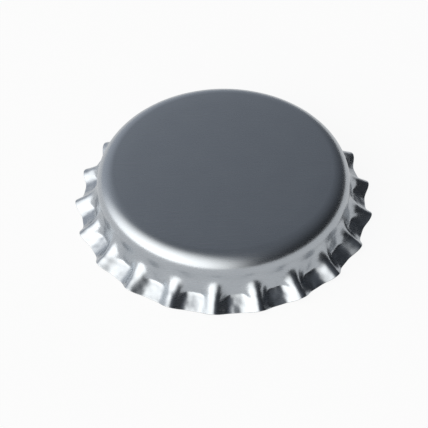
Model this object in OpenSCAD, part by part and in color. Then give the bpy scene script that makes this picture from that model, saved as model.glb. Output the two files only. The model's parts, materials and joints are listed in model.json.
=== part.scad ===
// Bottle cap of the fluted, pressed-metal kind, before it is crimped, with its sealing liner.
// Lengths are in millimetres. The cap lies skirt down on z = 0 with its axis on Z.

/* [Bottle fit] */
// Inside diameter of the straight neck that slips over the bottle mouth
bore_d = 26.65; // [26.4:0.05:26.9]
// Length of the straight neck below the shoulder
neck_len = 0.8; // [0.6:0.05:1.0]

/* [Panel and shoulder] */
// Thickness of the metal sheet
sheet_t = 0.225; // [0.18:0.005:0.28]
// Height of the panel's middle above the outer corner of the valley edges
panel_h = 5.94; // [5.7:0.02:6.2]
// Radius of the faint dome of the panel
dome_r = 400; // [200:10:800]
// Outside radius of the shoulder between the panel and the neck
shoulder_r = 1.95; // [1.6:0.05:2.1]

/* [Flutes] */
// Number of flutes round the skirt
flute_count = 21; // [18:1:24]
// Distance by which the flute tips stand out from the neck
tip_reach = 2.55; // [2.3:0.05:2.8]
// Distance by which the valleys stand out from the neck at their edge
valley_reach = 1.84; // [1.6:0.02:2.0]
// Rise of the flute tips above the outer corner of the valley edges
tip_lift = 0.7; // [0.5:0.05:0.9]
// Drop from the end of the straight neck to the corner where the crests turn outwards
crest_drop = 0.9; // [0.8:0.05:1.1]
// Depth of the rounding where the crests turn outwards
crest_round = 1.5; // [1.0:0.05:1.6]
// Narrowness of the crests: 1 gives an even wave, more gives narrower crests and wider floors
crest_power = 2.1; // [1.2:0.1:2.2]
// Slope of the valley floors below the horizontal, in degrees
valley_slope = 38; // [36:0.2:42]
// Outward lean of the tongues between the crests, from the vertical, in degrees
tongue_lean = 11; // [8:1:16]
// Drop from the end of the straight neck to the corner where the tongues start to lean
tongue_drop = 0.1; // [0.05:0.05:0.3]
// Depth of the rounding at the foot of the tongues
tongue_round = 0.2; // [0.1:0.05:0.3]

/* [Liner] */
// Gap all round between the liner and the inside of the neck
liner_gap = 0.825; // [0.5:0.025:1.1]
// Thickness of the liner's middle web
web_t = 0.25; // [0.2:0.05:0.4]
// Width of the thick sealing ring
ring_w = 2.4; // [2.0:0.1:3.0]
// Thickness of the sealing ring between its two ribs
ring_t = 0.6; // [0.5:0.05:0.8]
// Radius of the two round ribs that press on the bottle mouth
rib_r = 0.4; // [0.3:0.05:0.5]

/* [Hidden] */
$fn = 128;

// How far the skirt's upper end is let into the neck, and how far it keeps inside the neck's faces
socket_depth = 0.2;
socket_inset = 0.03;
// Drop below the neck at which the skirt has the sheet's full thickness
socket_drop = 0.05;
// Largest turn between two points of an arc, in degrees
arc_step = 7.5;
// Places of the columns of points, as shares of the way from a valley to a crest
column_places = [0, 0.2, 0.35, 0.5, 0.7, 0.85, 0.94, 1];
// Heights of the rows of points, as shares of the way from the neck down to the edge
row_places = [0, 0.15, 0.3, 0.44, 0.53, 0.59, 0.66, 0.8, 1];

neck_r = bore_d / 2 + sheet_t;
tip_r = neck_r + tip_reach;
valley_r = neck_r + valley_reach;
shoulder_axis_r = neck_r - shoulder_r;
dome_z = panel_h - dome_r;
shoulder_z = dome_z + sqrt(pow(dome_r - shoulder_r, 2) - pow(shoulder_axis_r, 2));
dome_edge = asin(shoulder_axis_r / (dome_r - shoulder_r));
neck_z = shoulder_z - neck_len;
skirt_z = neck_z - socket_drop;
liner_d = bore_d - 2 * liner_gap;

half_pitch = 180 / flute_count;
// Outward run of a crest and of a valley floor for each millimetre of drop
crest_run = tip_reach / (neck_z - crest_drop - tip_lift);
valley_run = 1 / tan(valley_slope);
tongue_run = tan(tongue_lean);

// Points of an arc about [x, z], from one angle to another
function arc(x, z, r, from, to) =
    let (steps = max(1, ceil(abs(to - from) / arc_step)))
    [for (i = [0:steps]) let (a = from + (to - from) * i / steps) [x + r * cos(a), z + r * sin(a)]];

// Panel and shoulder from the middle outwards, set in by the given depth and ended at the given angle
function panel_line(inset, end) = concat(
    arc(0, dome_z, dome_r - inset, 90, 90 - dome_edge),
    arc(shoulder_axis_r, shoulder_z, shoulder_r - inset, 90 - dome_edge, end));

// The larger of two values, with the corner where they cross rounded over the given depth
function round_max(a, b, depth) =
    max(a, b) + pow(max(0, depth - abs(a - b)), 2) / (4 * depth);

// How far a column is from valley to crest, 0 to 1; the turn runs from -1 to 1 across one flute
function crest_share(turn) = pow((1 - cos(180 * turn)) / 2, crest_power);

// Radius, at a height, of the round neck with its leaning tongues, of the valleys and of the crests
function tongue_r(z) =
    round_max(neck_r, neck_r + tongue_run * (neck_z - tongue_drop - z), tongue_round * tongue_run);
function valley_line(z) = round_max(tongue_r(z), valley_r - valley_run * z, tongue_round);
function crest_line(z) = round_max(neck_r, tip_r + crest_run * (tip_lift - z), crest_round);
function skirt_r(share, z) = valley_line(z) + share * (crest_line(z) - valley_line(z));

function row_heights(share) = [for (s = row_places) skirt_z + s * (share * tip_lift - skirt_z)];

// One column of the outside, from the neck down to the edge
function outer_column(turn) =
    let (share = crest_share(turn))
    let (angle = turn * half_pitch)
    [for (z = row_heights(share)) let (r = skirt_r(share, z)) [r * cos(angle), r * sin(angle), z]];

function unit(v) = v / norm(v);

// The same column set in by the sheet's thickness, square to the surface
function inner_column(before, column, after) =
    [for (i = [0:len(column) - 1])
        let (down = column[min(i + 1, len(column) - 1)] - column[max(i - 1, 0)])
        let (around = after[i] - before[i])
        column[i] - sheet_t * unit(cross(down, around))];

// Upper end of a column, let into the neck
function socket_point(turn, r) =
    [r * cos(turn * half_pitch), r * sin(turn * half_pitch), neck_z + socket_depth];

flute_turns = concat([for (i = [len(column_places) - 1:-1:1]) -column_places[i]], column_places);
flute_columns = [for (turn = flute_turns) outer_column(turn)];
flute_size = len(flute_turns) - 1;

// Closed loop of points round the section of the sheet, for each column of one flute
section_loops = [for (i = [0:flute_size - 1])
    let (before = i > 0 ? flute_columns[i - 1] : turn_points(flute_columns[flute_size - 1], -2 * half_pitch))
    let (inner = inner_column(before, flute_columns[i], flute_columns[i + 1]))
    let (top_outer = socket_point(flute_turns[i], neck_r - socket_inset))
    let (top_inner = socket_point(flute_turns[i], bore_d / 2 + socket_inset))
    concat([top_outer], flute_columns[i], [for (k = [len(inner) - 1:-1:0]) inner[k]], [top_inner])];

function turn_points(points, angle) =
    [for (p = points) [p.x * cos(angle) - p.y * sin(angle), p.x * sin(angle) + p.y * cos(angle), p.z]];

// The sheet's edge is square to the sheet, so its inner corner is the lowest point of the cap
edge_drop = -min([for (points = section_loops, p = points) p.z]);

// Round upper part of the sheet: panel, shoulder and straight neck
module panel_and_neck() {
    outer = panel_line(0, 0);
    inner = panel_line(sheet_t, 0);
    rotate_extrude()
        polygon(concat(
            outer,
            [[neck_r, neck_z], [bore_d / 2, neck_z]],
            [for (i = [len(inner) - 1:-1:0]) inner[i]]));
}

// Fluted skirt: the section loops of one flute, turned round the axis and joined by facets
module fluted_skirt() {
    loop_size = len(section_loops[0]);
    loops = [for (f = [0:flute_count - 1], points = section_loops) turn_points(points, 2 * half_pitch * f)];
    facets = [for (i = [0:len(loops) - 1], k = [0:loop_size - 1])
        let (j = (i + 1) % len(loops))
        let (m = (k + 1) % loop_size)
        let (a = i * loop_size + k)
        let (b = i * loop_size + m)
        let (c = j * loop_size + m)
        let (d = j * loop_size + k)
        each [[a, c, b], [a, d, c]]];
    polyhedron([for (points = loops) each points], facets);
}

module pressed_cap() {
    color("silver")
        translate([0, 0, edge_drop]) {
            panel_and_neck();
            fluted_skirt();
        }
}

module sealing_liner() {
    liner_r = liner_d / 2;
    ring_inner_r = liner_r - ring_w;
    ring_z = shoulder_z + shoulder_r - sheet_t - ring_t;
    web_r = dome_r - sheet_t - web_t;
    lip_angle = acos((liner_r - shoulder_axis_r) / (shoulder_r - sheet_t));
    color("gainsboro")
        translate([0, 0, edge_drop])
            rotate_extrude()
                polygon(concat(
                    panel_line(sheet_t, lip_angle),
                    arc(liner_r - rib_r, ring_z, rib_r, 360, 180),
                    arc(ring_inner_r + rib_r, ring_z, rib_r, 360, 180),
                    arc(0, dome_z, web_r, acos(ring_inner_r / web_r), 90)));
}

pressed_cap();
sealing_liner();
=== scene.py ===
import json
import math

import bpy
import numpy as np
from mathutils import Matrix, Vector


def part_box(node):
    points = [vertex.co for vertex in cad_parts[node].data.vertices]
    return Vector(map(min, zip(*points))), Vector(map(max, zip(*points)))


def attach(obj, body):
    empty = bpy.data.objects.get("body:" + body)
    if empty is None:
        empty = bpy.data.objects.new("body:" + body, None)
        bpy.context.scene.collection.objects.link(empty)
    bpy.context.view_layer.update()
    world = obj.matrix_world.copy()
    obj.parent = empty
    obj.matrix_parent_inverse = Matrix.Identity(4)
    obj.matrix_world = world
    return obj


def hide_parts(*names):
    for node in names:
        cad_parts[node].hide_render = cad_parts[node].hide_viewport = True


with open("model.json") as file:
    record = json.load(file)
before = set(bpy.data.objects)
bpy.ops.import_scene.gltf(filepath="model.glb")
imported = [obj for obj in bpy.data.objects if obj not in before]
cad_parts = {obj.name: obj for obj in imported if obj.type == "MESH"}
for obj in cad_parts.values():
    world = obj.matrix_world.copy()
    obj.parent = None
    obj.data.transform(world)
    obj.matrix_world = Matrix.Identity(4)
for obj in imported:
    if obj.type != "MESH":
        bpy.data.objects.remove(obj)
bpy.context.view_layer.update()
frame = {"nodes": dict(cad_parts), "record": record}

# Sizes are in millimetres. The cap's axis is Z and it lies on the table at 0.
# The outer sizes and the bore come from the CAD part.
MM = 0.001
cap_low, cap_high = (np.array(corner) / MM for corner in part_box("pressed_cap"))

# Panel, shoulder and neck
SHEET_T = 0.225
PANEL_TOP = cap_high[2]
DOME_R = 400.0
SHOULDER_R = 1.95
NECK_R = frame["record"]["mounts"][0]["dims"]["r_mm"] + SHEET_T
NECK_LEN = 0.8
SHOULDER_AXIS_R = NECK_R - SHOULDER_R
DOME_EDGE = math.asin(SHOULDER_AXIS_R / (DOME_R - SHOULDER_R))
SHOULDER_Z = PANEL_TOP - DOME_R + (DOME_R - SHOULDER_R) * math.cos(DOME_EDGE)
NECK_Z = SHOULDER_Z - NECK_LEN

# Valleys: floors that slope down to the edge, below tongues that lean outwards, both in degrees.
# The panel's height is above the outer corner of the valleys' edges.
FLUTES = 21
PANEL_H = 5.94
VALLEY_REACH = 1.84
VALLEY_SLOPE = 38
TONGUE_LEAN = 11
TONGUE_DROP = 0.1
TONGUE_ROUND = 0.2
VALLEY_Z = PANEL_TOP - PANEL_H
VALLEY_R = NECK_R + VALLEY_REACH
VALLEY_RUN = 1 / math.tan(math.radians(VALLEY_SLOPE))
TONGUE_Z = NECK_Z - TONGUE_DROP
TONGUE_RUN = math.tan(math.radians(TONGUE_LEAN))

# Crests: a tip points along -X, so the frame's box gives the tips' radius
TIP_LIFT = 0.7
CREST_DROP = 0.7
CREST_ROUND = 2.0
CREST_POWER = 2.2
TIP_Z = VALLEY_Z + TIP_LIFT
TIP_R = -cap_low[0]
CREST_Z = NECK_Z - CREST_DROP
CREST_RUN = (TIP_R - NECK_R) / (CREST_Z - TIP_Z)

# Rounding of the cut edge's corners
EDGE_ROUND = 0.04

# Points of the mesh: columns across one flute, and rows down each part of the sheet
FLUTE_COLUMNS = 32
PANEL_ROWS = 6
SHOULDER_ROWS = 16
SKIRT_ROWS = 40
EDGE_ROWS = 4

# The camera stands where the photograph was taken
IMAGE_PX = 428
FOCAL_PX = 1572.0
SENSOR_MM = 36.0
NEAREST_SEEN = 5.0
VIEW_AZIMUTH = -89.8
VIEW_ELEVATION = 46.8
VIEW_ROLL = -0.79
VIEW_DISTANCE = 168.9
VIEW_AIM = (-1.05, -2.22, 1.065)

# The table, its gap below the cap, and how much plain white each kind of ray sees in it
TABLE_HALF = 900.0
TABLE_GAP = 0.01
TABLE_WHITE = (("Is Camera Ray", 0.92), ("Is Glossy Ray", 0.7), ("Is Transmission Ray", 0.92))

# Light of the room, and the soft lights: azimuth, elevation, strength,
# the angles from the middle where each is full and where it ends, and colour
ROOM_LIGHT, ROOM_COLOUR = 0.02, "#EAF2FF"
SOFT_LIGHTS = (
    (220, 10, 2.6, 2, 75, "#FFFCF6"),
    (133, -10, 0.45, 2, 79, "#F2F7FF"),
    (170, 22, 0.2, 70, 180, "#EAF2FF"),
)


def polar(azimuth, elevation):
    """Unit vector at an azimuth and elevation in degrees."""
    a, e = math.radians(azimuth), math.radians(elevation)
    return Vector((math.cos(a) * math.cos(e), math.sin(a) * math.cos(e), math.sin(e)))


def rounded_max(a, b, depth):
    """The larger of two values, plus a parabola that rounds the corner where they come within the depth."""
    return np.maximum(a, b) + np.maximum(0, depth - np.abs(a - b)) ** 2 / (4 * depth)


def unit(v):
    """Vectors of an array scaled to length 1."""
    return v / np.linalg.norm(v, axis=-1, keepdims=True)


def crest_share(turn):
    """How far a column is from valley (0) to crest (1), for a turn of -1 to 1 across one flute.

    One less the cosine of the turn, halved, makes an even wave.
    A power of it narrows the crests and widens the floors between them.
    """
    return ((1 - np.cos(math.pi * turn)) / 2) ** CREST_POWER


def cap_outside():
    """Outside of the sheet as a grid of points: rows from the panel's middle to the edge, columns round it.

    The panel is an arc of a large circle and the shoulder a quarter circle, both carried round the axis.
    Below the shoulder each height has the radius of a valley and of a crest, and a column goes from one
    to the other by its crest share. A valley is the rounded maximum of a tongue that leans outwards and
    a straight floor. A crest is that of the neck and a straight line to the tip.
    """
    side = np.arange(-FLUTE_COLUMNS // 2, FLUTE_COLUMNS // 2) / (FLUTE_COLUMNS / 2)
    turn = np.tile(np.sin(side * math.pi / 2), FLUTES)
    angle = (np.repeat(np.arange(FLUTES), FLUTE_COLUMNS) * 2 + turn) * math.pi / FLUTES
    share = crest_share(turn)

    dome = np.linspace(0, DOME_EDGE, PANEL_ROWS + 1)[1:]
    bend = np.linspace(DOME_EDGE, math.pi / 2, SHOULDER_ROWS + 1)[1:]
    line_r = np.concatenate([DOME_R * np.sin(dome), SHOULDER_AXIS_R + SHOULDER_R * np.sin(bend)])
    line_z = np.concatenate([
        PANEL_TOP - DOME_R * (1 - np.cos(dome)), SHOULDER_Z + SHOULDER_R * np.cos(bend)])

    edge_z = VALLEY_Z + share * (TIP_Z - VALLEY_Z)
    z = SHOULDER_Z + np.linspace(0, 1, SKIRT_ROWS + 1)[1:, None] * (edge_z - SHOULDER_Z)
    tongue_r = rounded_max(NECK_R, NECK_R + TONGUE_RUN * (TONGUE_Z - z), TONGUE_ROUND * TONGUE_RUN)
    valley_r = rounded_max(tongue_r, VALLEY_R - VALLEY_RUN * (z - VALLEY_Z), TONGUE_ROUND)
    crest_r = rounded_max(NECK_R, TIP_R - CREST_RUN * (z - TIP_Z), CREST_ROUND)
    r = valley_r + share * (crest_r - valley_r)

    r = np.concatenate([np.repeat(line_r[:, None], len(turn), 1), r])
    z = np.concatenate([np.repeat(line_z[:, None], len(turn), 1), z])
    return np.stack([r * np.cos(angle), r * np.sin(angle), z], -1), angle


def pressed_sheet():
    """Rings of the whole sheet: down the outside, round the cut edge and back up the inside.

    The inside is the outside set in by the sheet's thickness along its normal. Each corner of the cut
    edge is a quarter circle between the normal and the line on down the sheet. Also gives each point's
    place on the flat blank, at its distance from the middle along the sheet, and 1 on the cut edge.
    """
    outer, angle = cap_outside()
    padded = np.concatenate([outer[:1], outer, outer[-1:]])
    normal = unit(np.cross(padded[2:] - padded[:-2], np.roll(outer, -1, 1) - np.roll(outer, 1, 1)))
    inner = outer - SHEET_T * normal
    onward = unit(outer[-1] - outer[-2])
    outer[-1] -= EDGE_ROUND * onward
    inner[-1] -= EDGE_ROUND * onward
    corner = np.linspace(0, math.pi / 2, EDGE_ROWS + 1)[1:, None, None]
    outer_corner = outer[-1] + EDGE_ROUND * (normal[-1] * (np.cos(corner) - 1) + onward * np.sin(corner))
    inner_corner = inner[-1] + EDGE_ROUND * (normal[-1] * (1 - np.sin(corner)) + onward * np.cos(corner))
    before_corner = inner[-1] + EDGE_ROUND * (normal[-1] + onward)
    edge = np.concatenate([outer_corner, before_corner[None], inner_corner])
    rings = np.concatenate([outer, edge, inner[-2::-1]])

    steps = np.linalg.norm(np.diff(outer, axis=0), axis=-1)
    first = np.linalg.norm(outer[:1] - [0, 0, PANEL_TOP], axis=-1)
    along = np.concatenate([first, first + np.cumsum(steps, axis=0)])
    along = np.concatenate([along, np.repeat(along[-1:], len(edge), 0), along[-2::-1]])
    blank = np.stack([along * np.cos(angle), along * np.sin(angle)], -1)
    is_edge = np.zeros(along.shape)
    is_edge[len(outer):len(outer) + len(edge)] = 1
    return rings, blank, is_edge


def skin(name, rings, ends):
    """A closed mesh over rings of points, with a point on the axis at each of its two ends."""
    rows, columns = rings.shape[:2]
    here = np.arange(rows * columns).reshape(rows, columns)
    beside = np.roll(here, -1, 1)
    quads = np.stack([here[:-1], here[1:], beside[1:], beside[:-1]], -1).reshape(-1, 4)
    first, last = rows * columns, rows * columns + 1
    caps = [np.stack([np.full(columns, first), here[0], beside[0]], -1),
            np.stack([np.full(columns, last), beside[-1], here[-1]], -1)]
    mesh = bpy.data.meshes.new(name)
    points = np.concatenate([rings.reshape(-1, 3), ends]) * MM
    mesh.from_pydata(points.tolist(), [], quads.tolist() + np.concatenate(caps).tolist())
    mesh.shade_smooth()
    piece = bpy.data.objects.new(name, mesh)
    bpy.context.collection.objects.link(piece)
    return piece


def linear(code):
    """Linear colour of an sRGB hex code."""
    srgb = np.array([int(code[i:i + 2], 16) for i in (1, 3, 5)]) / 255
    return (*np.where(srgb <= 0.04045, srgb / 12.92, ((srgb + 0.055) / 1.055) ** 2.4), 1.0)


def add(tree, kind, inputs=None, **settings):
    """Adds a node with its settings. An input that is given a socket is linked, and any other is set."""
    node = tree.nodes.new(kind)
    for name, value in settings.items():
        setattr(node, name, value)
    for name, value in (inputs or {}).items():
        if isinstance(value, bpy.types.NodeSocket):
            tree.links.new(value, node.inputs[name])
        else:
            node.inputs[name].default_value = value
    return node


def new_tree(name):
    """An empty material and its node tree."""
    material = bpy.data.materials.new(name)
    material.use_nodes = True
    material.node_tree.nodes.clear()
    return material, material.node_tree


def tinplate():
    """Tin-plated sheet steel: a satin mirror with faint rolling lines, slightly dented in the skirt."""
    material, tree = new_tree("tinplate")
    blank = add(tree, "ShaderNodeAttribute", attribute_name="blank").outputs["Vector"]
    edge = add(tree, "ShaderNodeAttribute", attribute_name="cut_edge").outputs["Fac"]
    # Rolling lines 0.25 mm apart and about 8 mm long, coarser than real ones so that they show
    lines_at = add(tree, "ShaderNodeMapping", {"Vector": blank, "Scale": (1 / 8, 1 / 0.25, 1.0)})
    lines = add(tree, "ShaderNodeTexNoise", {
        "Vector": lines_at.outputs["Vector"], "Scale": 1.0, "Detail": 3.0}).outputs["Fac"]
    rough = add(tree, "ShaderNodeMapRange", {"Value": lines, "To Min": 0.25, "To Max": 0.3})
    rolled = add(tree, "ShaderNodeBump", {"Height": lines, "Strength": 0.25, "Distance": 0.004 * MM})
    # Cloudy patches of the tin, about 3 mm across, and the bare steel of the cut edge
    cloud_at = add(tree, "ShaderNodeMapping", {"Vector": blank, "Scale": (1 / 3, 1 / 3, 1.0)})
    cloud = add(tree, "ShaderNodeTexNoise", {
        "Vector": cloud_at.outputs["Vector"], "Scale": 1.0, "Detail": 2.0}).outputs["Fac"]
    tint = add(tree, "ShaderNodeMix", {
        "Factor": cloud, 6: linear("#A9AEB4"), 7: linear("#B0B5BA")}, data_type="RGBA")
    colour = add(tree, "ShaderNodeMix", {
        "Factor": edge, 6: tint.outputs[2], 7: linear("#A9ABAE")}, data_type="RGBA")
    # Dents about 1.5 mm across that the press leaves in the skirt, setting in 15 to 17 mm out on the blank
    dents_at = add(tree, "ShaderNodeMapping", {"Vector": blank, "Scale": (1 / 1.5, 1 / 1.5, 1.0)})
    dents = add(tree, "ShaderNodeTexNoise", {
        "Vector": dents_at.outputs["Vector"], "Scale": 1.0, "Detail": 1.0}).outputs["Fac"]
    out = add(tree, "ShaderNodeVectorMath", {0: blank}, operation="LENGTH").outputs["Value"]
    on_skirt = add(tree, "ShaderNodeMapRange", {"Value": out, "From Min": 15.0, "From Max": 17.0})
    dented = add(tree, "ShaderNodeBump", {
        "Height": dents, "Strength": on_skirt.outputs["Result"], "Distance": 0.15 * MM,
        "Normal": rolled.outputs["Normal"]})
    shader = add(tree, "ShaderNodeBsdfPrincipled", {
        "Base Color": colour.outputs[2], "Metallic": 1.0, "Roughness": rough.outputs["Result"],
        "Normal": dented.outputs["Normal"]})
    add(tree, "ShaderNodeOutputMaterial", {"Surface": shader.outputs["BSDF"]})
    return material


def moulded_polyolefin():
    """Soft polyolefin moulded in place: off-white and waxy, with the faint cloudiness of a pressed melt."""
    material, tree = new_tree("moulded_polyolefin")
    place = add(tree, "ShaderNodeTexCoord").outputs["Object"]
    # Clouds about 2.5 mm across
    cloud_at = add(tree, "ShaderNodeMapping", {"Vector": place, "Scale": (1 / (2.5 * MM),) * 3})
    cloud = add(tree, "ShaderNodeTexNoise", {
        "Vector": cloud_at.outputs["Vector"], "Scale": 1.0, "Detail": 3.0}).outputs["Fac"]
    tint = add(tree, "ShaderNodeMix", {
        "Factor": cloud, 6: linear("#CFD2D0"), 7: linear("#DEDFDB")}, data_type="RGBA")
    rough = add(tree, "ShaderNodeMapRange", {"Value": cloud, "To Min": 0.38, "To Max": 0.5})
    shader = add(tree, "ShaderNodeBsdfPrincipled", {
        "Base Color": tint.outputs[2], "Roughness": rough.outputs["Result"], "IOR": 1.5})
    add(tree, "ShaderNodeOutputMaterial", {"Surface": shader.outputs["BSDF"]})
    return material


def paper_table():
    """Matt white paper. The camera sees it almost plain white, and the metal sees more of its shadow."""
    material, tree = new_tree("paper_table")
    path = add(tree, "ShaderNodeLightPath")
    white_share = 0.0
    for ray, part in TABLE_WHITE:
        total = add(tree, "ShaderNodeMath", {
            0: path.outputs[ray], 1: part, 2: white_share}, operation="MULTIPLY_ADD")
        white_share = total.outputs["Value"]
    matt = add(tree, "ShaderNodeBsdfDiffuse", {"Color": linear("#F4F4F4")})
    white = add(tree, "ShaderNodeEmission", {"Color": (1.0, 1.0, 1.0, 1.0), "Strength": 1.0})
    both = add(tree, "ShaderNodeMixShader", {
        "Fac": white_share, 1: matt.outputs["BSDF"], 2: white.outputs["Emission"]})
    add(tree, "ShaderNodeOutputMaterial", {"Surface": both.outputs["Shader"]})
    return material


def studio():
    """A dim room with a large soft light on the front left, a weak low one behind and a faint wide glow.

    Each light is full within one angle of its direction and fades smoothly to nothing at a second one.
    """
    world = bpy.data.worlds.new("studio")
    world.use_nodes = True
    tree = world.node_tree
    tree.nodes.clear()
    ray = add(tree, "ShaderNodeTexCoord").outputs["Generated"]
    light = Vector(linear(ROOM_COLOUR)[:3]) * ROOM_LIGHT
    for azimuth, elevation, strength, full, nothing, colour in SOFT_LIGHTS:
        towards = add(tree, "ShaderNodeVectorMath", {
            0: ray, 1: polar(azimuth, elevation)}, operation="DOT_PRODUCT")
        fade = add(tree, "ShaderNodeMapRange", {
            "Value": towards.outputs["Value"], "From Min": math.cos(math.radians(nothing)),
            "From Max": math.cos(math.radians(full)), "To Max": strength}, interpolation_type="SMOOTHSTEP")
        tinted = add(tree, "ShaderNodeVectorMath", {
            0: linear(colour)[:3], "Scale": fade.outputs["Result"]}, operation="SCALE")
        both = add(tree, "ShaderNodeVectorMath", {0: tinted.outputs["Vector"], 1: light}, operation="ADD")
        light = both.outputs["Vector"]
    sky = add(tree, "ShaderNodeBackground", {"Color": light, "Strength": 1.0})
    add(tree, "ShaderNodeOutputWorld", {"Surface": sky.outputs["Background"]})
    return world


def make_cap():
    """The pressed sheet as one closed skin, with its flat blank and cut edge kept for the material."""
    rings, blank, is_edge = pressed_sheet()
    cap = skin("fluted_cap", rings, [(0, 0, PANEL_TOP), (0, 0, PANEL_TOP - SHEET_T)])
    flat = np.zeros((len(cap.data.vertices), 3))
    flat[:-2, :2] = blank.reshape(-1, 2)
    cut = np.zeros(len(cap.data.vertices))
    cut[:-2] = is_edge.ravel()
    cap.data.attributes.new("blank", "FLOAT_VECTOR", "POINT").data.foreach_set("vector", flat.ravel())
    cap.data.attributes.new("cut_edge", "FLOAT", "POINT").data.foreach_set("value", cut)
    cap.data.materials.append(tinplate())
    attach(cap, "root")
    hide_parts("pressed_cap")


def dress_liner():
    """The liner keeps its CAD shape and gets its own material."""
    liner = frame["nodes"]["sealing_liner"]
    liner.data.materials.clear()
    liner.data.materials.append(moulded_polyolefin())


def make_table():
    """A square table top, just below the cap's lowest edge."""
    mesh = bpy.data.meshes.new("table")
    corners = np.array([(-1, -1, 0), (1, -1, 0), (1, 1, 0), (-1, 1, 0)]) * TABLE_HALF - [0, 0, TABLE_GAP]
    mesh.from_pydata((corners * MM).tolist(), [], [(0, 1, 2, 3)])
    table = bpy.data.objects.new("table", mesh)
    table.data.materials.append(paper_table())
    bpy.context.collection.objects.link(table)


def place_camera():
    """Camera at the photograph's angle, turned to the point that is at the middle of the photograph."""
    back = polar(VIEW_AZIMUTH, VIEW_ELEVATION)
    right = Vector((0, 0, 1)).cross(back).normalized()
    upright = Matrix((right, back.cross(right), back)).transposed()
    turned = upright @ Matrix.Rotation(math.radians(VIEW_ROLL), 3, "Z")
    place = (Vector(VIEW_AIM) + VIEW_DISTANCE * back) * MM
    camera = bpy.data.objects.new("camera", bpy.data.cameras.new("camera"))
    camera.data.sensor_width = SENSOR_MM
    camera.data.lens = SENSOR_MM * FOCAL_PX / IMAGE_PX
    camera.data.clip_start = NEAREST_SEEN * MM
    camera.matrix_world = Matrix.Translation(place) @ turned.to_4x4()
    bpy.context.collection.objects.link(camera)
    bpy.context.scene.camera = camera


make_cap()
dress_liner()
make_table()
place_camera()
bpy.context.scene.world = studio()
bpy.context.scene.view_settings.view_transform = "Standard"
